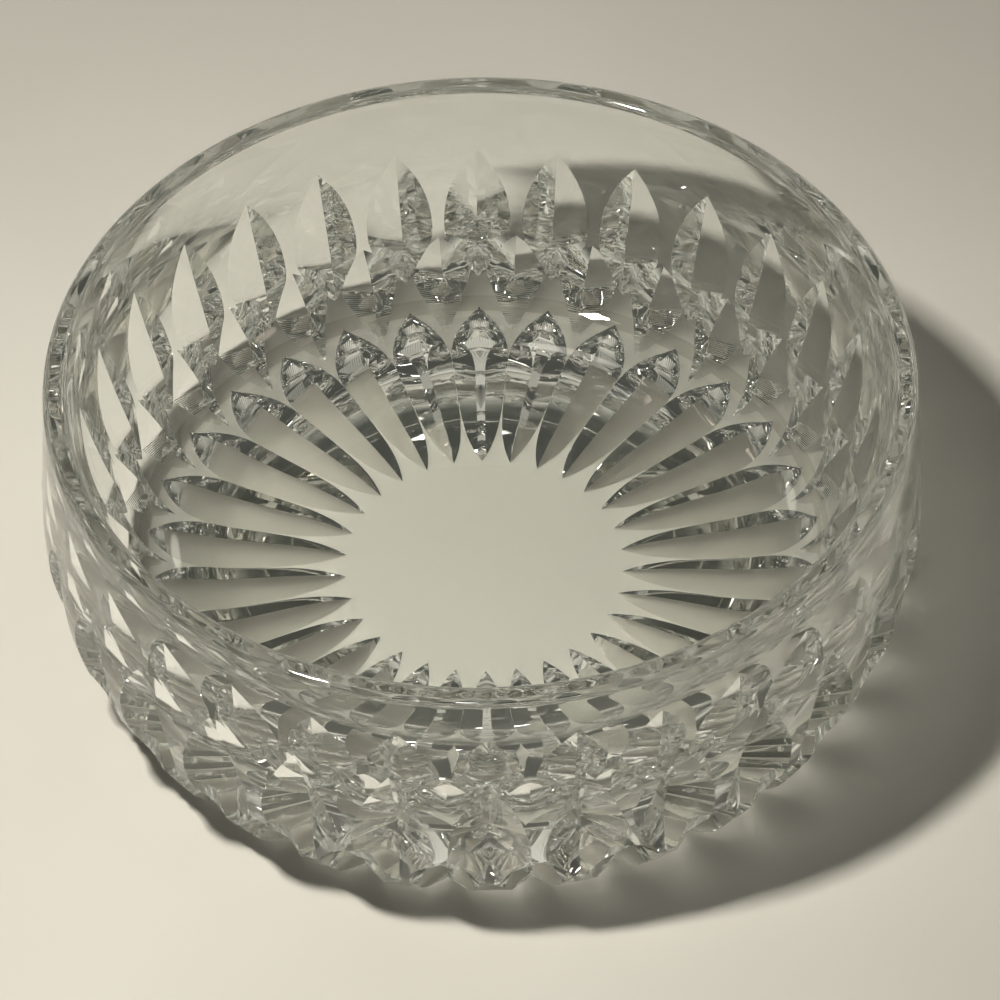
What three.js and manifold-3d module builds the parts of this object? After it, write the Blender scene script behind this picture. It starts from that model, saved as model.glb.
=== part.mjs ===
// A cut crystal bowl: one body of clear glass, given as three zones that meet face to face.
// Millimetres, +Z up, the resting face on z = 0 and the bowl's axis on the Z axis.
import * as THREE from "three";
import { mergeVertices } from "three/addons/utils/BufferGeometryUtils.js";
import Module from "manifold-3d";

const wasm = await Module();
wasm.setup();

// Rim and straight upper wall
const HEIGHT = 82; // foot to the top of the lip
const RIM_RADIUS = 106; // outside of the wall just under the lip
const RIM_WALL = 6; // glass thickness at the lip
const LIP_ROUND = 2; // rounding of both edges of the lip
const WALL_TILT = THREE.MathUtils.degToRad(6.5); // the upper wall widens downward by this angle
const BAND_HEIGHT = 20; // plain band without cuts, below the top of the lip

// Barrel-shaped wall
const BELLY_HEIGHT = 40; // height of the widest point above the foot
const BARREL_CURVE = 73; // radius of the wall's upright curve
const FOOT_CORNER = 9; // rounding between the wall and the underside

// Inside
const FLOOR_THICKNESS = 17; // glass under the flat of the floor
const COVE_RADIUS = 32; // round corner between floor and wall
const COVE_HEIGHT = 49; // height of the cove's centre
const INNER_CURVE = 110; // upright curve of the inner wall above the cove
const INNER_STRAIGHT = 6.8; // upright part of the inner wall, below the top of the lip
const DISH_DEPTH = 3; // how far the base zone reaches up into the cove

// Cut pattern: V cuts pointed at both ends, in three rings
const CUTS = 30; // cuts in each ring
const LEAF_FOOT = 10; // lower tip of a leaf cut, near the foot
const LEAF_TOP = 57; // its upper tip, on the upper wall
const DART_FOOT_INSET = 7; // a dart cut ends under the base, this far inside the foot's corner
const DART_TOP = 25; // its upper tip, between two leaves
const RAY_START = 35.5; // radius of the clear disk inside the rays
const RAY_END_TURN = THREE.MathUtils.degToRad(31); // its outer tip, up the foot's corner
const CUTTER_REACH = 9; // how far a cutter stands clear of the glass
const TIP_LIFT = 0.15; // a cutter's crease leaves the glass by this much at its tips

// Shape of each kind of cut, from its start to its end along the outline:
//   widest: place of its widest point, as a part of its length
//   share: its greatest width, as a part of the pitch
//   spread: its half width for each millimetre of depth
//   startPower, endPower: fullness of its edge curve on each side of the widest point
//   startDepth: part of its depth that is left at its start
const LEAF = { widest: 0.42, share: 0.92, spread: 1.5, startPower: 2, endPower: 2, startDepth: 1 };
const DART = { widest: 0.64, share: 0.84, spread: 1.15, startPower: 1.2, endPower: 2, startDepth: 0.25 };
const RAY = { widest: 0.6, share: 1.02, spread: 1.1, startPower: 6, endPower: 2, startDepth: 1 };

// Facets
const ROUND_STEPS = 60; // round the bowl, a multiple of the cuts
const CURVE_STEPS = 5; // along the barrel and along the cove
const CORNER_STEPS = 3; // along each small rounding
const CUT_STEPS = 4; // along half of a cut

const BAND_FOOT = HEIGHT - BAND_HEIGHT;
const BASE_TOP = FLOOR_THICKNESS + DISH_DEPTH;
const LIP_FOOT = HEIGHT - LIP_ROUND;
const MOUTH_RADIUS = RIM_RADIUS - RIM_WALL;
const PITCH = (2 * Math.PI) / CUTS;

// Outside: the straight wall runs into the barrel, and the barrel into the foot's corner.
const BARREL_TOP = BELLY_HEIGHT + BARREL_CURVE * Math.sin(WALL_TILT);
const BARREL_TOP_RADIUS = RIM_RADIUS + (LIP_FOOT - BARREL_TOP) * Math.tan(WALL_TILT);
const BARREL_CENTRE = BARREL_TOP_RADIUS - BARREL_CURVE * Math.cos(WALL_TILT);
const CORNER_REACH = BARREL_CURVE - FOOT_CORNER;
const CORNER_DROP = BELLY_HEIGHT - FOOT_CORNER;
const CORNER_CENTRE = BARREL_CENTRE + Math.sqrt(CORNER_REACH ** 2 - CORNER_DROP ** 2);
const CORNER_MEETING = -Math.asin(CORNER_DROP / CORNER_REACH);
const CORNER_TOP = BELLY_HEIGHT + BARREL_CURVE * Math.sin(CORNER_MEETING);

// Inside: the upright wall runs into a long curve, and that into the cove.
const INNER_BEND = HEIGHT - INNER_STRAIGHT;
const INNER_HUB = MOUTH_RADIUS - INNER_CURVE;
const COVE_REACH = INNER_CURVE - COVE_RADIUS;
const COVE_CENTRE = INNER_HUB + Math.sqrt(COVE_REACH ** 2 - (INNER_BEND - COVE_HEIGHT) ** 2);
const COVE_MEETING = -Math.asin((INNER_BEND - COVE_HEIGHT) / COVE_REACH);
const COVE_TOP = INNER_BEND + INNER_CURVE * Math.sin(COVE_MEETING);

// Radius of the uncut outside at height z, from the foot's corner up to the lip.
function outerRadius(z) {
  if (z >= BARREL_TOP) {
    return RIM_RADIUS + (LIP_FOOT - z) * Math.tan(WALL_TILT);
  }
  return BARREL_CENTRE + Math.sqrt(BARREL_CURVE ** 2 - (z - BELLY_HEIGHT) ** 2);
}

// Radius of the inner wall at height z, from the floor up to the lip.
function innerRadius(z) {
  if (z >= INNER_BEND) {
    return MOUTH_RADIUS;
  }
  if (z >= COVE_TOP) {
    return INNER_HUB + Math.sqrt(INNER_CURVE ** 2 - (INNER_BEND - z) ** 2);
  }
  return COVE_CENTRE + Math.sqrt(COVE_RADIUS ** 2 - (COVE_HEIGHT - z) ** 2);
}

// Evenly spaced values from a to b, both included.
function spaced(a, b, steps) {
  return Array.from({ length: steps + 1 }, (_, i) => a + ((b - a) * i) / steps);
}

// Profile points on a circle from angle a to angle b, as seen with +X outward and +Y up.
function arc(centreRadius, centreHeight, radius, a, b, steps) {
  return spaced(a, b, steps).map(
    (t) => new THREE.Vector2(centreRadius + radius * Math.cos(t), centreHeight + radius * Math.sin(t)),
  );
}

// Profile points at the given heights on the surface that radiusAt describes.
function along(radiusAt, heights) {
  return heights.map((z) => new THREE.Vector2(radiusAt(z), z));
}

// A solid from a three.js geometry, which must be one closed surface facing out.
function solidOf(geometry) {
  const bare = geometry.clone();
  bare.deleteAttribute("normal");
  bare.deleteAttribute("uv");
  const merged = mergeVertices(bare, 1e-4);
  return new wasm.Manifold(
    new wasm.Mesh({
      numProp: 3,
      vertProperties: new Float32Array(merged.attributes.position.array),
      triVerts: new Uint32Array(merged.index.array),
    }),
  );
}

// A closed profile turned about the Z axis. The profile runs anticlockwise, seen with +X outward.
function turned(profile) {
  const lathe = new THREE.LatheGeometry(profile, ROUND_STEPS);
  lathe.rotateX(Math.PI / 2);
  return solidOf(lathe);
}

// A loft through cross-sections with the same number of corners, closed at both ends.
function loft(sections) {
  const corners = sections[0].length;
  const points = sections.flat().flatMap((p) => [p.x, p.y, p.z]);
  const faces = [];
  for (let s = 0; s + 1 < sections.length; s++) {
    for (let c = 0; c < corners; c++) {
      const here = s * corners + c;
      const next = s * corners + ((c + 1) % corners);
      faces.push(here, next, next + corners);
      faces.push(here, next + corners, here + corners);
    }
  }
  const last = (sections.length - 1) * corners;
  for (let c = 1; c + 1 < corners; c++) {
    faces.push(0, c + 1, c);
    faces.push(last, last + c, last + c + 1);
  }
  const geometry = new THREE.BufferGeometry();
  geometry.setAttribute("position", new THREE.Float32BufferAttribute(points, 3));
  geometry.setIndex(faces);
  return solidOf(geometry);
}

// A point of the uncut outside and the direction out of the glass, both in the plane of angle 0.
function onWall(z) {
  const tilt = z >= BARREL_TOP ? WALL_TILT : Math.asin((z - BELLY_HEIGHT) / BARREL_CURVE);
  const out = new THREE.Vector3(Math.cos(tilt), 0, Math.sin(tilt));
  return { point: new THREE.Vector3(outerRadius(z), 0, z), out };
}

// The same on the foot's corner, at an angle up from straight down.
function onCorner(turn) {
  const out = new THREE.Vector3(Math.sin(turn), 0, -Math.cos(turn));
  const centre = new THREE.Vector3(CORNER_CENTRE, 0, FOOT_CORNER);
  return { point: centre.clone().addScaledVector(out, FOOT_CORNER), out };
}

// The same on the flat underside.
function onUnderside(radius) {
  return { point: new THREE.Vector3(radius, 0, 0), out: new THREE.Vector3(0, 0, -1) };
}

// Length of the outline from the underside's centre up to a point made by the functions above.
function runTo({ point, out }) {
  if (point.z === 0) {
    return point.x;
  }
  const turn = Math.atan2(out.x, -out.z);
  const cornerEnd = Math.PI / 2 + CORNER_MEETING;
  if (turn <= cornerEnd) {
    return CORNER_CENTRE + FOOT_CORNER * turn;
  }
  const barrelTurn = Math.min(turn, Math.PI / 2 + WALL_TILT) - cornerEnd;
  const upper = Math.max(0, point.z - BARREL_TOP) / Math.cos(WALL_TILT);
  return CORNER_CENTRE + FOOT_CORNER * cornerEnd + BARREL_CURVE * barrelTurn + upper;
}

// V cutter of the given shape through spots on the outline, its crease inside the glass.
function cutter(spots, shape) {
  const start = runTo(spots[0]);
  const length = runTo(spots[spots.length - 1]) - start;
  const sections = spots.map((spot) => {
    const place = (runTo(spot) - start) / length;
    const before = place < shape.widest;
    const off = before ? 1 - place / shape.widest : (place - shape.widest) / (1 - shape.widest);
    const swell = 1 - off ** (before ? shape.startPower : shape.endPower);
    const halfWidth = shape.share * spot.point.x * Math.tan(PITCH / 2) * swell;
    const depthPart = THREE.MathUtils.lerp(shape.startDepth, 1, Math.min(1, place / shape.widest));
    const spread = shape.spread / depthPart;
    const depth = halfWidth / spread - TIP_LIFT;
    const open = halfWidth + (CUTTER_REACH - TIP_LIFT) * spread;
    const edge = spot.point.clone().addScaledVector(spot.out, CUTTER_REACH);
    return [
      spot.point.clone().addScaledVector(spot.out, -depth),
      edge.clone().add(new THREE.Vector3(0, -open, 0)),
      edge.clone().add(new THREE.Vector3(0, open, 0)),
    ];
  });
  return loft(sections);
}

// Leaf cut: on the wall, from near the foot up to the plain band.
function leafCutter() {
  return cutter(spaced(LEAF_FOOT, LEAF_TOP, 2 * CUT_STEPS).map(onWall), LEAF);
}

// Dart cut: between two leaves and lower down, round the foot's corner to the underside.
function dartCutter() {
  const cornerEnd = Math.PI / 2 + CORNER_MEETING;
  const spots = [
    ...spaced(CORNER_CENTRE - DART_FOOT_INSET, CORNER_CENTRE, CUT_STEPS / 2).map(onUnderside),
    ...spaced(0, cornerEnd, CUT_STEPS).slice(1).map(onCorner),
    ...spaced(CORNER_TOP, DART_TOP, CUT_STEPS / 2).slice(1).map(onWall),
  ];
  return cutter(spots, DART);
}

// Ray: on the underside, from the clear disk out to the lower part of the foot's corner.
function rayCutter() {
  const spots = [
    ...spaced(RAY_START, CORNER_CENTRE, 2 * CUT_STEPS).map(onUnderside),
    ...spaced(0, RAY_END_TURN, CUT_STEPS / 2).slice(1).map(onCorner),
  ];
  return cutter(spots, RAY);
}

// The body with a ring of copies of the cutter taken off; offset is a share of the pitch.
function withRing(body, tool, offset) {
  let left = body;
  for (let i = 0; i < CUTS; i++) {
    const degrees = -90 + ((i + offset) * 360) / CUTS;
    left = left.subtract(tool.rotate([0, 0, degrees]));
  }
  return left;
}

// The body with its share of all three rings cut away.
function withAllCuts(body) {
  const leaves = withRing(body, leafCutter(), 0);
  const darts = withRing(leaves, dartCutter(), 0.5);
  return withRing(darts, rayCutter(), 0);
}

// Thick floor: clear disk in the middle of the underside, rays from it out to the foot.
function starBase() {
  const profile = [
    new THREE.Vector2(0, 0),
    ...arc(CORNER_CENTRE, FOOT_CORNER, FOOT_CORNER, -Math.PI / 2, CORNER_MEETING, CORNER_STEPS),
    ...along(outerRadius, spaced(CORNER_TOP, BASE_TOP, 1)).slice(1),
    ...along(innerRadius, spaced(BASE_TOP, FLOOR_THICKNESS, CORNER_STEPS)),
    new THREE.Vector2(0, FLOOR_THICKNESS),
  ];
  return withAllCuts(turned(profile));
}

// Cut wall from the base zone up to the foot of the plain band.
function cutWall() {
  const profile = [
    ...along(outerRadius, spaced(BASE_TOP, BARREL_TOP, CURVE_STEPS)),
    ...along(outerRadius, [BAND_FOOT]),
    ...along(innerRadius, spaced(BAND_FOOT, COVE_TOP, CORNER_STEPS)),
    ...along(innerRadius, spaced(COVE_TOP, BASE_TOP, CURVE_STEPS)).slice(1),
    ...along(outerRadius, [BASE_TOP]),
  ];
  return withAllCuts(turned(profile));
}

// Plain band with its rounded lip.
function rimBand() {
  const quarter = Math.PI / 2;
  const profile = [
    ...along(outerRadius, [BAND_FOOT]),
    ...arc(RIM_RADIUS - LIP_ROUND, LIP_FOOT, LIP_ROUND, 0, quarter, CORNER_STEPS),
    ...arc(MOUTH_RADIUS + LIP_ROUND, LIP_FOOT, LIP_ROUND, quarter, 2 * quarter, CORNER_STEPS),
    ...along(innerRadius, [INNER_BEND, BAND_FOOT]),
    ...along(outerRadius, [BAND_FOOT]),
  ];
  return turned(profile);
}

// A named mesh from a solid, in clear crystal glass.
function glassMesh(name, solid) {
  const { vertProperties, triVerts } = solid.getMesh();
  const geometry = new THREE.BufferGeometry();
  geometry.setAttribute("position", new THREE.BufferAttribute(vertProperties, 3));
  geometry.setIndex(new THREE.BufferAttribute(triVerts, 1));
  geometry.computeVertexNormals();
  const glass = new THREE.MeshStandardMaterial({ color: 0xdfe3da, roughness: 0.03, metalness: 0 });
  const mesh = new THREE.Mesh(geometry, glass);
  mesh.name = name;
  return mesh;
}

const bowl = new THREE.Group();
bowl.name = "crystal_bowl";
bowl.add(glassMesh("star_base", starBase()));
bowl.add(glassMesh("cut_wall", cutWall()));
bowl.add(glassMesh("rim_band", rimBand()));

export default bowl;
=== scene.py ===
"""A cut crystal bowl on a plain pale table, dressed over the CAD frame."""

from __future__ import annotations

import logging
import math
from dataclasses import dataclass, field
from enum import Enum

import bmesh
import bpy
from mathutils import Matrix, Vector

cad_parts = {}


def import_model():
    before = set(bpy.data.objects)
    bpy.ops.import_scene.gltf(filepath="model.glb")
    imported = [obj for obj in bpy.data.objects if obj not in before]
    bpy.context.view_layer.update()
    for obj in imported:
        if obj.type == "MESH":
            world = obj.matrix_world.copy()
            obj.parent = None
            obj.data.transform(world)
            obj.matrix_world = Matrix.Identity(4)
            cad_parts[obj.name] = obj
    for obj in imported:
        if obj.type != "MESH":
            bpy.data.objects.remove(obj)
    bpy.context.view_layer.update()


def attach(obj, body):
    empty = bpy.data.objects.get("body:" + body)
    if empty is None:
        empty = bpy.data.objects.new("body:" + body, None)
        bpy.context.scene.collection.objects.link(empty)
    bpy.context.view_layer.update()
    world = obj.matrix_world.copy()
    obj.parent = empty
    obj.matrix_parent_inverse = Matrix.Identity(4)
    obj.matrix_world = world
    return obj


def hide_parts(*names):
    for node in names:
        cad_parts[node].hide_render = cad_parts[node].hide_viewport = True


LOG = logging.getLogger("crystal_bowl")
MM = 0.001
GLASS_BOUNCES = 24
CLEAR_BOUNCES = 16

Profile = list[tuple[float, float]]


class CutRow(Enum):
    """The three rings of cuts, from the band down to the base."""

    LEAF = "leaf"
    DART = "dart"
    RAY = "ray"


# Finishes


@dataclass(frozen=True)
class CrystalFinish:
    """Polished lead crystal, clear with a faint grey-green tint.

    Level faces let part of the lamp's light straight through to the table, and tilted
    faces don't, which stands in for the light that real glass bends aside. Tilted
    faces close above the table carry painted shade, a greyer colour that stands in for
    the darker table seen through them, chosen to match how the rays look.
    """

    name: str = "polished_crystal"
    tint: tuple[float, float, float] = (0.955, 0.97, 0.95)
    # Painted shade: the greyer colour given to tilted faces close above the table.
    low_cut_painted_shade: tuple[float, float, float] = (0.68, 0.68, 0.64)
    refraction: float = 1.55
    roughness: float = 0.0
    passed_light: float = 0.15
    level_from: float = 0.93
    level_to: float = 0.995
    least_level: float = 0.55
    low_cut_height: float = 0.009

    def material(self) -> bpy.types.Material:
        """Make the glass.

        Returns:
            A material with the finish's values on the shader's own sockets.
        """
        made = bpy.data.materials.new(self.name)
        made.use_nodes = True
        nodes = made.node_tree.nodes
        shader = nodes["Principled BSDF"]
        shader.inputs["Transmission Weight"].default_value = 1.0
        shader.inputs["IOR"].default_value = self.refraction
        shader.inputs["Roughness"].default_value = self.roughness
        level = self.levelness(made)
        self.paint_shade_on_low_cuts(made, level)
        self.pass_light(made, level)
        return made

    def levelness(self, made: bpy.types.Material) -> bpy.types.NodeSocket:
        """How level the face is: 1 on a level face and 0 on an upright one.

        Args:
            made: The material to add the nodes to.

        Returns:
            The socket that holds the value.
        """
        nodes = made.node_tree.nodes
        links = made.node_tree.links
        face = nodes.new("ShaderNodeNewGeometry")
        split = nodes.new("ShaderNodeSeparateXYZ")
        size = nodes.new("ShaderNodeMath")
        size.operation = "ABSOLUTE"
        links.new(face.outputs["True Normal"], split.inputs["Vector"])
        links.new(split.outputs["Z"], size.inputs[0])
        return size.outputs["Value"]

    def compare(
        self, made: bpy.types.Material, operation: str, value: bpy.types.NodeSocket, limit: float
    ) -> bpy.types.NodeSocket:
        """Compare a value with a limit.

        Args:
            made: The material to add the node to.
            operation: LESS_THAN or GREATER_THAN.
            value: The socket of the value.
            limit: The limit.

        Returns:
            A socket that is 1 where the comparison holds.
        """
        node = made.node_tree.nodes.new("ShaderNodeMath")
        node.operation = operation
        made.node_tree.links.new(value, node.inputs[0])
        node.inputs[1].default_value = limit
        return node.outputs["Value"]

    def paint_shade_on_low_cuts(self, made: bpy.types.Material, level: bpy.types.NodeSocket) -> None:
        """Paint shade on the tilted faces close above the table: a greyer colour that stands in
        for the darker table seen through them.

        Args:
            made: The material.
            level: The socket that says how level a face is.
        """
        nodes = made.node_tree.nodes
        links = made.node_tree.links
        # Mask for the painted shade: faces that are low, tilted and not upright.
        place = nodes.new("ShaderNodeTexCoord")
        split = nodes.new("ShaderNodeSeparateXYZ")
        links.new(place.outputs["Object"], split.inputs["Vector"])
        low = self.compare(made, "LESS_THAN", split.outputs["Z"], self.low_cut_height)
        tilted = self.compare(made, "LESS_THAN", level, self.level_from)
        not_upright = self.compare(made, "GREATER_THAN", level, self.least_level)
        both = nodes.new("ShaderNodeMath")
        both.operation = "MULTIPLY"
        links.new(low, both.inputs[0])
        links.new(tilted, both.inputs[1])
        all_three = nodes.new("ShaderNodeMath")
        all_three.operation = "MULTIPLY"
        links.new(both.outputs["Value"], all_three.inputs[0])
        links.new(not_upright, all_three.inputs[1])
        # The ramp's second colour is the painted shade on the low tilted faces.
        ramp = nodes.new("ShaderNodeValToRGB")
        ramp.color_ramp.elements[0].color = (*self.tint, 1.0)
        ramp.color_ramp.elements[1].color = (*self.low_cut_painted_shade, 1.0)
        links.new(all_three.outputs["Value"], ramp.inputs["Fac"])
        links.new(ramp.outputs["Color"], nodes["Principled BSDF"].inputs["Base Color"])

    def pass_light(self, made: bpy.types.Material, level: bpy.types.NodeSocket) -> None:
        """Let level faces pass part of the lamp's light.

        Args:
            made: The material.
            level: The socket that says how level a face is.
        """
        nodes = made.node_tree.nodes
        links = made.node_tree.links
        open_part = nodes.new("ShaderNodeMapRange")
        open_part.inputs["From Min"].default_value = self.level_from
        open_part.inputs["From Max"].default_value = self.level_to
        path = nodes.new("ShaderNodeLightPath")
        share = nodes.new("ShaderNodeMath")
        share.operation = "MULTIPLY"
        clear = nodes.new("ShaderNodeBsdfTransparent")
        clear.inputs["Color"].default_value = (self.passed_light,) * 3 + (1.0,)
        mix = nodes.new("ShaderNodeMixShader")
        links.new(level, open_part.inputs["Value"])
        links.new(open_part.outputs["Result"], share.inputs[0])
        links.new(path.outputs["Is Shadow Ray"], share.inputs[1])
        links.new(share.outputs["Value"], mix.inputs["Fac"])
        links.new(nodes["Principled BSDF"].outputs["BSDF"], mix.inputs[1])
        links.new(clear.outputs["BSDF"], mix.inputs[2])
        links.new(mix.outputs["Shader"], nodes["Material Output"].inputs["Surface"])


@dataclass(frozen=True)
class TableFinish:
    """Pale matt table top, a warm grey cream with a faint mottle."""

    name: str = "pale_table"
    light: tuple[float, float, float] = (0.665, 0.64, 0.565)
    dark: tuple[float, float, float] = (0.625, 0.6, 0.525)
    mottle_scale: float = 7.0
    mottle_from: float = 0.35
    mottle_to: float = 0.65
    roughness: float = 0.55

    def material(self) -> bpy.types.Material:
        """Make the table top.

        Returns:
            A matt material with a soft mottle between two close tones.
        """
        made = bpy.data.materials.new(self.name)
        made.use_nodes = True
        nodes = made.node_tree.nodes
        links = made.node_tree.links
        shader = nodes["Principled BSDF"]
        shader.inputs["Roughness"].default_value = self.roughness
        place = nodes.new("ShaderNodeTexCoord")
        noise = nodes.new("ShaderNodeTexNoise")
        noise.inputs["Scale"].default_value = self.mottle_scale
        ramp = nodes.new("ShaderNodeValToRGB")
        ramp.color_ramp.elements[0].position = self.mottle_from
        ramp.color_ramp.elements[1].position = self.mottle_to
        ramp.color_ramp.elements[0].color = (*self.dark, 1.0)
        ramp.color_ramp.elements[1].color = (*self.light, 1.0)
        links.new(place.outputs["Object"], noise.inputs["Vector"])
        links.new(noise.outputs["Fac"], ramp.inputs["Fac"])
        links.new(ramp.outputs["Color"], shader.inputs["Base Color"])
        return made


# Helpers for curves and solids


def spaced(start: float, end: float, steps: int) -> list[float]:
    """Evenly spaced values, both ends included.

    Args:
        start: First value.
        end: Last value.
        steps: Number of gaps between the values.

    Returns:
        steps + 1 values.
    """
    return [start + (end - start) * i / steps for i in range(steps + 1)]


def arc_points(
    centre: tuple[float, float], radius: float, start: float, end: float, steps: int
) -> Profile:
    """Points on a circle in the profile plane.

    Args:
        centre: Radius and height of the circle's centre.
        radius: The circle's own radius.
        start: Angle of the first point in radians.
        end: Angle of the last point.
        steps: Number of gaps between points.

    Returns:
        The points as (radius, height) pairs.
    """
    return [
        (centre[0] + radius * math.cos(a), centre[1] + radius * math.sin(a))
        for a in spaced(start, end, steps)
    ]


def mesh_object(
    name: str, points: list[Vector], faces: list[list[int]]
) -> bpy.types.Object:
    """Make a mesh object from points in millimetres.

    Args:
        name: Name of the object and of its mesh.
        points: Corner points.
        faces: Corner numbers of each face.

    Returns:
        The object, linked to the scene, in metres.
    """
    mesh = bpy.data.meshes.new(name)
    mesh.from_pydata([p * MM for p in points], [], faces)
    mesh.validate()
    made = bpy.data.objects.new(name, mesh)
    bpy.context.scene.collection.objects.link(made)
    return made


def loft(name: str, sections: list[list[Vector]]) -> bpy.types.Object:
    """Join cross-sections with the same number of corners into a closed solid.

    Args:
        name: Name of the object.
        sections: Cross-sections in order, each a ring of points.

    Returns:
        The closed solid, its faces turned outward.
    """
    corners = len(sections[0])
    faces = []
    for s in range(len(sections) - 1):
        for c in range(corners):
            here = s * corners + c
            after = s * corners + (c + 1) % corners
            faces.append([here, after, after + corners])
            faces.append([here, after + corners, here + corners])
    last = (len(sections) - 1) * corners
    faces.append(list(range(corners))[::-1])
    faces.append(list(range(last, last + corners)))
    made = mesh_object(name, [p for ring in sections for p in ring], faces)
    shell = bmesh.new()
    shell.from_mesh(made.data)
    bmesh.ops.triangulate(shell, faces=shell.faces)
    bmesh.ops.recalc_face_normals(shell, faces=shell.faces)
    if shell.calc_volume(signed=True) < 0:
        bmesh.ops.reverse_faces(shell, faces=shell.faces)
    shell.to_mesh(made.data)
    shell.free()
    return made


# The bowl


@dataclass
class BowlForm:
    """Sizes of the glass before it is cut, in millimetres and degrees."""

    height: float = 82.0
    rim_radius: float = 106.0
    rim_wall: float = 6.0
    lip_round: float = 2.0
    wall_tilt: float = 6.5
    belly_height: float = 40.0
    barrel_curve: float = 73.0
    foot_corner: float = 9.0
    floor_thickness: float = 17.0
    cove_radius: float = 32.0
    cove_height: float = 49.0
    inner_curve: float = 110.0
    inner_straight: float = 6.8
    under_steps: int = 48
    corner_steps: int = 12
    barrel_steps: int = 44
    upper_steps: int = 20
    lip_steps: int = 8
    inner_steps: int = 34
    cove_steps: int = 36
    floor_steps: int = 16

    @property
    def lip_foot(self) -> float:
        """Height at which the rounding of the lip starts."""
        return self.height - self.lip_round

    @property
    def barrel_top(self) -> float:
        """Height at which the barrel runs into the straight upper wall."""
        return self.belly_height + self.barrel_curve * math.sin(math.radians(self.wall_tilt))

    @property
    def barrel_centre(self) -> float:
        """Radius of the centre of the barrel's upright curve."""
        tilt = math.radians(self.wall_tilt)
        top_radius = self.rim_radius + (self.lip_foot - self.barrel_top) * math.tan(tilt)
        return top_radius - self.barrel_curve * math.cos(tilt)

    @property
    def corner_centre(self) -> float:
        """Radius of the centre of the foot's rounded corner."""
        reach = self.barrel_curve - self.foot_corner
        drop = self.belly_height - self.foot_corner
        return self.barrel_centre + math.sqrt(reach**2 - drop**2)

    def skin(self) -> Profile:
        """Outside of the glass from the axis under the base up to the lip.

        Returns:
            Closely spaced points of the outline.
        """
        meeting = math.atan2(
            self.foot_corner - self.belly_height, self.corner_centre - self.barrel_centre
        )
        tilt = math.radians(self.wall_tilt)
        under = [(r, 0.0) for r in spaced(0.0, self.corner_centre, self.under_steps)][:-1]
        foot_centre = (self.corner_centre, self.foot_corner)
        foot = arc_points(foot_centre, self.foot_corner, -math.pi / 2, meeting, self.corner_steps)
        hub = (self.barrel_centre, self.belly_height)
        barrel = arc_points(hub, self.barrel_curve, meeting, tilt, self.barrel_steps)[1:]
        upper = [
            (self.rim_radius + (self.lip_foot - z) * math.tan(tilt), z)
            for z in spaced(self.barrel_top, self.lip_foot, self.upper_steps)
        ][1:]
        return under + foot + barrel + upper

    def profile(self) -> Profile:
        """Closed outline of the glass on one side of the axis.

        Returns:
            Points from the axis under the base, out, up over the lip and back in.
        """
        quarter = math.pi / 2
        top = self.lip_foot
        mouth = self.rim_radius - self.rim_wall
        steps = self.lip_steps
        outer_centre = (self.rim_radius - self.lip_round, top)
        inner_centre = (mouth + self.lip_round, top)
        lip = arc_points(outer_centre, self.lip_round, 0, quarter, steps)[1:]
        lip += arc_points(inner_centre, self.lip_round, quarter, 2 * quarter, steps)
        bend = self.height - self.inner_straight
        hub = mouth - self.inner_curve
        reach = self.inner_curve - self.cove_radius
        drop = bend - self.cove_height
        cove_centre = hub + math.sqrt(reach**2 - drop**2)
        meeting = math.atan2(-drop, cove_centre - hub)
        wall = arc_points((hub, bend), self.inner_curve, 0.0, meeting, self.inner_steps)
        cove_hub = (cove_centre, self.cove_height)
        cove = arc_points(cove_hub, self.cove_radius, meeting, -quarter, self.cove_steps)[1:]
        floor = [(r, self.floor_thickness) for r in spaced(cove_centre, 0.0, self.floor_steps)][1:]
        return self.skin() + lip + wall + cove + floor


@dataclass(frozen=True)
class CutShape:
    """One pointed V cut that follows the skin, sizes in millimetres.

    The cut runs from its start to its end along the outline. The share is the part
    of the pitch that it takes up at its widest, and the spread is its half width
    for each millimetre of depth. The start depth is the part of that depth that is
    left at its start.
    """

    name: str
    start: float
    end: float
    widest: float
    share: float
    spread: float
    start_power: float = 2.0
    end_power: float = 2.0
    start_depth: float = 1.0

    def lens(self, place: float) -> float:
        """Width of the cut at a place along it, as a part of its full width."""
        if place < self.widest:
            return 1 - ((self.widest - place) / self.widest) ** self.start_power
        return 1 - ((place - self.widest) / (1 - self.widest)) ** self.end_power

    def spread_at(self, place: float) -> float:
        """Half width for each millimetre of depth at a place along the cut."""
        gained = min(1.0, place / self.widest)
        return self.spread / (self.start_depth + (1 - self.start_depth) * gained)


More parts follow.
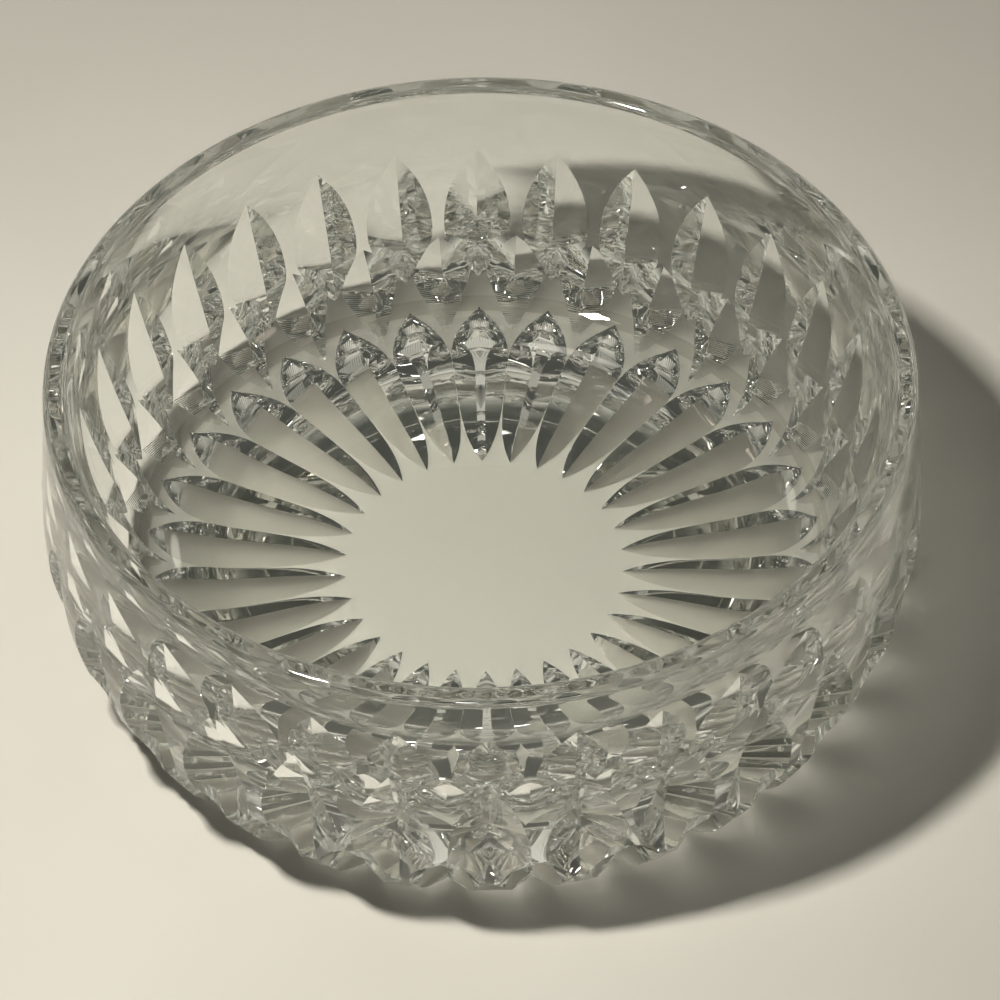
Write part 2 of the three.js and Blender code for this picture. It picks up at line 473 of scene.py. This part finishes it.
@dataclass
class CutPattern:
    """The three rings of cuts: their number, places and shapes in millimetres.

    A cutter stands clear of the glass on the outside, and its crease comes past the
    skin at both tips. The slope of the skin is taken over a short reach each way.
    """

    form: BowlForm = field(default_factory=BowlForm)
    cuts: int = 30
    clear: float = 9.0
    past: float = 0.15
    leaf_top: float = 57.0
    leaf_foot: float = 10.0
    leaf_share: float = 0.92
    leaf_spread: float = 1.5
    leaf_widest: float = 0.42
    dart_top: float = 25.0
    dart_foot_inset: float = 7.0
    dart_share: float = 0.84
    dart_spread: float = 1.15
    dart_widest: float = 0.64
    dart_foot_power: float = 1.2
    dart_foot_depth: float = 0.25
    ray_start: float = 35.5
    ray_end_turn: float = 31.0
    ray_share: float = 1.02
    ray_spread: float = 1.1
    ray_widest: float = 0.6
    ray_tip_power: float = 6.0
    ray_end_power: float = 2.0
    along_cut: int = 44
    slope_reach: float = 0.8

    @property
    def pitch(self) -> float:
        """Angle between two cuts of a ring, in radians."""
        return 2 * math.pi / self.cuts

    def places(self) -> list[tuple[float, float, float]]:
        """Outline points with their distance along it, as (distance, radius, height)."""
        skin = self.form.skin()
        run = 0.0
        marked = [(0.0, *skin[0])]
        for before, after in zip(skin, skin[1:]):
            run += math.dist(before, after)
            marked.append((run, *after))
        return marked

    def distance_at_height(self, height: float) -> float:
        """Distance along the outline at a height on the wall."""
        marked = self.places()
        for (s0, _, z0), (s1, _, z1) in zip(marked, marked[1:]):
            if z1 > z0 and z0 <= height <= z1:
                return s0 + (s1 - s0) * (height - z0) / (z1 - z0)
        raise ValueError(f"no wall at height {height}")

    def station(self, distance: float) -> tuple[Vector, Vector]:
        """Point and outward direction on the outline at a distance along it.

        Args:
            distance: Distance from the axis along the outline.

        Returns:
            The point and the unit outward direction, both in the plane of angle 0.
        """
        marked = self.places()
        for i, ((s0, r0, z0), (s1, r1, z1)) in enumerate(zip(marked, marked[1:])):
            if distance <= s1 or i == len(marked) - 2:
                t = (distance - s0) / (s1 - s0)
                spot = Vector((r0 + (r1 - r0) * t, 0, z0 + (z1 - z0) * t))
                break
        before = self.point_at(marked, distance - self.slope_reach)
        after = self.point_at(marked, distance + self.slope_reach)
        run = (after - before).normalized()
        return spot, Vector((run.z, 0, -run.x))

    @staticmethod
    def point_at(marked: list[tuple[float, float, float]], distance: float) -> Vector:
        """Point of a marked outline at a distance along it."""
        for (s0, r0, z0), (s1, r1, z1) in zip(marked, marked[1:]):
            if distance <= s1:
                t = (distance - s0) / (s1 - s0)
                return Vector((r0 + (r1 - r0) * t, 0, z0 + (z1 - z0) * t))
        return Vector((marked[-1][1], 0, marked[-1][2]))

    def shape(self, row: CutRow) -> CutShape:
        """Shape of the cuts of one ring.

        Args:
            row: The ring.

        Returns:
            The shape, with its ends as distances along the outline.
        """
        if row is CutRow.LEAF:
            return CutShape(
                row.value, self.distance_at_height(self.leaf_foot),
                self.distance_at_height(self.leaf_top), self.leaf_widest,
                self.leaf_share, self.leaf_spread,
            )
        if row is CutRow.DART:
            return CutShape(
                row.value, self.form.corner_centre - self.dart_foot_inset,
                self.distance_at_height(self.dart_top),
                self.dart_widest, self.dart_share, self.dart_spread,
                self.dart_foot_power, start_depth=self.dart_foot_depth,
            )
        ray_run = self.form.foot_corner * math.radians(self.ray_end_turn)
        return CutShape(
            row.value, self.ray_start, self.form.corner_centre + ray_run, self.ray_widest,
            self.ray_share, self.ray_spread, self.ray_tip_power, self.ray_end_power,
        )

    def cutter(self, row: CutRow) -> bpy.types.Object:
        """Make the V cutter of one ring, its crease in the plane of angle 0.

        Args:
            row: The ring.

        Returns:
            A closed solid that stands clear of the glass on the outside.
        """
        shape = self.shape(row)
        sections = []
        for place in spaced(0.0, 1.0, self.along_cut):
            spot, out = self.station(shape.start + (shape.end - shape.start) * place)
            half = shape.share * spot.x * math.tan(self.pitch / 2) * shape.lens(place)
            spread = shape.spread_at(place)
            depth = half / spread - self.past
            wide = half + (self.clear - self.past) * spread
            side = Vector((0, wide, 0))
            crease = spot - out * depth
            edge = spot + out * self.clear
            sections.append([crease, edge - side, edge + side])
        return loft(f"cutter_{shape.name}", sections)


@dataclass
class GlassBody:
    """The one piece of glass: a turned form with three rings of cuts.

    A leaf faces the front angle, in degrees. The last four values are the distances
    within which points count as lying on the axis, on a side plane or on each other.
    """

    form: BowlForm = field(default_factory=BowlForm)
    pattern: CutPattern = field(default_factory=CutPattern)
    finish: CrystalFinish = field(default_factory=CrystalFinish)
    columns: int = 8
    crease_angle: float = 16.0
    front: float = -90.0
    on_axis: float = 1e-6
    on_side: float = 2e-7
    same_point: float = 2e-6
    no_length: float = 1e-6

    def half_wedge(self) -> bpy.types.Object:
        """Turn half a pitch of the uncut form as a closed solid.

        Returns:
            The solid between the plane of a leaf and the plane of a dart.
        """
        outline = self.form.profile()
        rings = []
        points: list[Vector] = []
        for r, z in outline:
            if r < self.on_axis:
                points.append(Vector((0, 0, z)))
                rings.append([len(points) - 1] * (self.columns + 1))
                continue
            ring = []
            for a in spaced(0.0, self.pattern.pitch / 2, self.columns):
                points.append(Vector((r * math.cos(a), r * math.sin(a), z)))
                ring.append(len(points) - 1)
            rings.append(ring)
        faces = []
        for low, high in zip(rings, rings[1:]):
            for c in range(self.columns):
                corners = [low[c], low[c + 1], high[c + 1], high[c]]
                faces.append(list(dict.fromkeys(corners)))
        faces.append([ring[0] for ring in rings])
        faces.append([ring[-1] for ring in rings][::-1])
        return mesh_object("half_wedge", points, faces)

    def cut_half(self) -> bpy.types.Object:
        """Take the cuts off the half wedge.

        Returns:
            The half wedge with its share of the leaf, dart and ray rings cut away.
        """
        body = self.half_wedge()
        cutters = {row: self.pattern.cutter(row) for row in CutRow}
        cutters[CutRow.DART].rotation_euler.z = self.pattern.pitch / 2
        for cutter in cutters.values():
            step = body.modifiers.new(cutter.name, "BOOLEAN")
            step.operation = "DIFFERENCE"
            step.solver = "MANIFOLD"
            step.object = cutter
        bpy.context.view_layer.update()
        seen = body.evaluated_get(bpy.context.evaluated_depsgraph_get())
        result = bpy.data.meshes.new_from_object(seen)
        body.modifiers.clear()
        body.data = result
        for cutter in cutters.values():
            bpy.data.objects.remove(cutter)
        return body

    def open_half(self) -> tuple[list[Vector], list[list[int]]]:
        """Take the two flat side faces off the cut half wedge.

        Returns:
            Points snapped to the two side planes, and the faces that are left.
        """
        body = self.cut_half()
        shell = bmesh.new()
        shell.from_mesh(body.data)
        bpy.data.objects.remove(body)
        half = self.pattern.pitch / 2
        far = Vector((-math.sin(half), math.cos(half), 0))
        near = Vector((0, 1, 0))
        close = self.on_side
        sides = [
            face
            for face in shell.faces
            if all(abs(v.co.dot(near)) < close for v in face.verts)
            or all(abs(v.co.dot(far)) < close for v in face.verts)
        ]
        bmesh.ops.delete(shell, geom=sides, context="FACES")
        for v in shell.verts:
            for plane in (near, far):
                off = v.co.dot(plane)
                if abs(off) < close:
                    v.co -= plane * off
        shell.verts.index_update()
        points = [v.co.copy() for v in shell.verts]
        faces = [[v.index for v in face.verts] for face in shell.faces]
        shell.free()
        return points, faces

    def build(self) -> bpy.types.Object:
        """Build the whole glass from copies of the cut half wedge.

        Returns:
            One closed mesh object in the row frame.
        """
        points, faces = self.open_half()
        all_points: list[Vector] = []
        all_faces: list[list[int]] = []
        for k in range(self.pattern.cuts):
            turn = Matrix.Rotation(math.radians(self.front) + k * self.pattern.pitch, 3, "Z")
            for side in (1, -1):
                base = len(all_points)
                for p in points:
                    all_points.append(turn @ Vector((p.x, side * p.y, p.z)))
                for face in faces:
                    order = face if side == 1 else face[::-1]
                    all_faces.append([base + i for i in order])
        mesh = bpy.data.meshes.new("crystal_bowl")
        mesh.from_pydata(all_points, [], all_faces)
        shell = bmesh.new()
        shell.from_mesh(mesh)
        bmesh.ops.remove_doubles(shell, verts=shell.verts, dist=self.same_point)
        bmesh.ops.dissolve_degenerate(shell, edges=shell.edges, dist=self.no_length)
        bmesh.ops.recalc_face_normals(shell, faces=shell.faces)
        if shell.calc_volume(signed=True) < 0:
            bmesh.ops.reverse_faces(shell, faces=shell.faces)
        shell.to_mesh(mesh)
        open_edges = sum(1 for e in shell.edges if not e.is_manifold)
        shell.free()
        mesh.shade_smooth()
        mesh.set_sharp_from_angle(angle=math.radians(self.crease_angle))
        made = bpy.data.objects.new("crystal_bowl", mesh)
        bpy.context.scene.collection.objects.link(made)
        LOG.info("crystal_bowl: %d faces, %d open edges", len(mesh.polygons), open_edges)
        return made

    def dress(self, made: bpy.types.Object) -> None:
        """Give the glass its finish and tie it to the frame.

        Args:
            made: The glass mesh object.
        """
        made.data.materials.append(self.finish.material())
        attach(made, "root")
        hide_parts("star_base", "cut_wall", "rim_band")


# The stage


@dataclass
class Table:
    """A plain table top under the bowl, sizes in metres."""

    half_width: float = 2.5
    gap: float = 0.0003
    finish: TableFinish = field(default_factory=TableFinish)

    def build(self) -> bpy.types.Object:
        """Make the table top.

        Returns:
            The table object.
        """
        w, g = self.half_width, self.gap
        mesh = bpy.data.meshes.new("table_top")
        corners = [(-w, -w, -g), (w, -w, -g), (w, w, -g), (-w, w, -g)]
        mesh.from_pydata(corners, [], [[0, 1, 2, 3]])
        made = bpy.data.objects.new("table_top", mesh)
        bpy.context.scene.collection.objects.link(made)
        made.data.materials.append(self.finish.material())
        return made


@dataclass
class Lamp:
    """A soft rectangular lamp, sizes in metres and power in watts."""

    name: str
    place: tuple[float, float, float]
    aim: tuple[float, float, float]
    width: float
    length: float
    power: float
    colour: tuple[float, float, float] = (1.0, 0.97, 0.92)

    def build(self) -> bpy.types.Object:
        """Make the lamp.

        Returns:
            The lamp object, turned to its aim.
        """
        data = bpy.data.lights.new(self.name, "AREA")
        data.shape = "RECTANGLE"
        data.size = self.width
        data.size_y = self.length
        data.energy = self.power
        data.color = self.colour
        made = bpy.data.objects.new(self.name, data)
        made.location = self.place
        look = Vector(self.aim) - Vector(self.place)
        made.rotation_euler = look.to_track_quat("-Z", "Y").to_euler()
        bpy.context.scene.collection.objects.link(made)
        return made


@dataclass(frozen=True)
class Glow:
    """A soft round light of the room that only the glass shows, sizes in degrees."""

    toward: tuple[float, float, float]
    radius: float = 2.5
    soft_edge: float = 1.5
    colour: tuple[float, float, float] = (4.0, 3.8, 3.3)

    def add_to(
        self, tree: bpy.types.NodeTree, way: bpy.types.NodeSocket, colour: bpy.types.NodeSocket
    ) -> bpy.types.NodeSocket:
        """Lay the light over a colour of the room.

        Args:
            tree: The world's node tree.
            way: The socket of the direction.
            colour: The socket of the colour so far.

        Returns:
            The socket of the colour with the light.
        """
        along = tree.nodes.new("ShaderNodeVectorMath")
        along.operation = "DOT_PRODUCT"
        along.inputs[1].default_value = Vector(self.toward).normalized()
        shape = tree.nodes.new("ShaderNodeMapRange")
        outer = math.radians(self.radius + self.soft_edge)
        shape.inputs["From Min"].default_value = math.cos(outer)
        shape.inputs["From Max"].default_value = math.cos(math.radians(self.radius))
        mix = tree.nodes.new("ShaderNodeMix")
        mix.data_type = "RGBA"
        mix.inputs["B"].default_value = (*self.colour, 1.0)
        tree.links.new(way, along.inputs[0])
        tree.links.new(along.outputs["Value"], shape.inputs["Value"])
        tree.links.new(shape.outputs["Result"], mix.inputs["Factor"])
        tree.links.new(colour, mix.inputs["A"])
        return mix.outputs["Result"]


@dataclass
class Room:
    """The soft light of a plain room, as the world's colour.

    What the camera and the glass see of the room is paler than what lights the table.
    A path that has met the table counts as lighting it.
    """

    low: tuple[float, float, float] = (0.72, 0.69, 0.59)
    high: tuple[float, float, float] = (0.065, 0.068, 0.057)
    overhead: float = 0.55
    on_table: tuple[float, float, float] = (0.06, 0.06, 0.053)
    before_table: float = 0.5
    glows: tuple[Glow, ...] = (
        Glow((0.55, 0.7, 0.45)),
        Glow((-0.65, 0.6, 0.5)),
        Glow((0.85, -0.3, 0.55), colour=(3.6, 3.1, 2.5)),
        Glow((-0.1, 0.35, 0.93)),
    )

    def build(self) -> None:
        """Set the world to a soft fade from the horizon to overhead, with a few glows."""
        world = bpy.data.worlds.new("room")
        world.use_nodes = True
        tree = world.node_tree
        back = tree.nodes["Background"]
        place = tree.nodes.new("ShaderNodeTexCoord")
        split = tree.nodes.new("ShaderNodeSeparateXYZ")
        ramp = tree.nodes.new("ShaderNodeValToRGB")
        ramp.color_ramp.elements[0].color = (*self.low, 1.0)
        ramp.color_ramp.elements[1].color = (*self.high, 1.0)
        ramp.color_ramp.elements[1].position = self.overhead
        tree.links.new(place.outputs["Generated"], split.inputs["Vector"])
        tree.links.new(split.outputs["Z"], ramp.inputs["Fac"])
        shown = ramp.outputs["Color"]
        for glow in self.glows:
            shown = glow.add_to(tree, place.outputs["Generated"], shown)
        path = tree.nodes.new("ShaderNodeLightPath")
        seen = tree.nodes.new("ShaderNodeMath")
        seen.operation = "LESS_THAN"
        seen.inputs[1].default_value = self.before_table
        mix = tree.nodes.new("ShaderNodeMix")
        mix.data_type = "RGBA"
        mix.inputs["A"].default_value = (*self.on_table, 1.0)
        tree.links.new(path.outputs["Diffuse Depth"], seen.inputs[0])
        tree.links.new(seen.outputs["Value"], mix.inputs["Factor"])
        tree.links.new(shown, mix.inputs["B"])
        tree.links.new(mix.outputs["Result"], back.inputs["Color"])
        back.inputs["Strength"].default_value = 1.0
        bpy.context.scene.world = world


@dataclass
class PhotoCamera:
    """The camera that looks down at the bowl: places in metres, lens and sensor in mm."""

    place: tuple[float, float, float] = (0.0, -0.5799, 0.6752)
    aim: tuple[float, float, float] = (0.0044, 0.0019, 0.03)
    roll: float = -0.778
    lens: float = 123.12
    sensor: float = 36.0
    nearest: float = 0.01

    def build(self) -> bpy.types.Object:
        """Make the camera and use it for the scene.

        Returns:
            The camera object.
        """
        data = bpy.data.cameras.new("photo_camera")
        data.lens = self.lens
        data.sensor_width = self.sensor
        data.clip_start = self.nearest
        made = bpy.data.objects.new("photo_camera", data)
        look = (Vector(self.aim) - Vector(self.place)).normalized()
        turn = look.to_track_quat("-Z", "Y").to_matrix()
        tilt = Matrix.Rotation(math.radians(self.roll), 3, "Z")
        made.matrix_world = Matrix.Translation(self.place) @ (turn @ tilt).to_4x4()
        bpy.context.scene.collection.objects.link(made)
        bpy.context.scene.camera = made
        return made


def set_view() -> None:
    """Plain colour handling, and enough bounces for thick clear glass."""
    scene = bpy.context.scene
    scene.view_settings.view_transform = "Standard"
    scene.cycles.max_bounces = GLASS_BOUNCES
    scene.cycles.transmission_bounces = GLASS_BOUNCES
    scene.cycles.glossy_bounces = GLASS_BOUNCES
    scene.cycles.transparent_max_bounces = CLEAR_BOUNCES


def main() -> None:
    """Build the bowl, the table, the lamp, the room and the camera in order."""
    logging.basicConfig(level=logging.INFO, format="%(name)s: %(message)s")
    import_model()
    set_view()
    glass = GlassBody()
    bowl = glass.build()
    glass.dress(bowl)
    LOG.info("glass body built and dressed")
    Table().build()
    LOG.info("table top built")
    Lamp(
        name="side_lamp",
        place=(-0.22, -0.104, 0.62),
        aim=(0.0, 0.0, 0.03),
        width=0.04,
        length=0.06,
        power=4.5,
    ).build()
    LOG.info("side lamp built")
    Room().build()
    LOG.info("room light set")
    PhotoCamera().build()
    LOG.info("camera set")


if __name__ == "__main__":
    main()
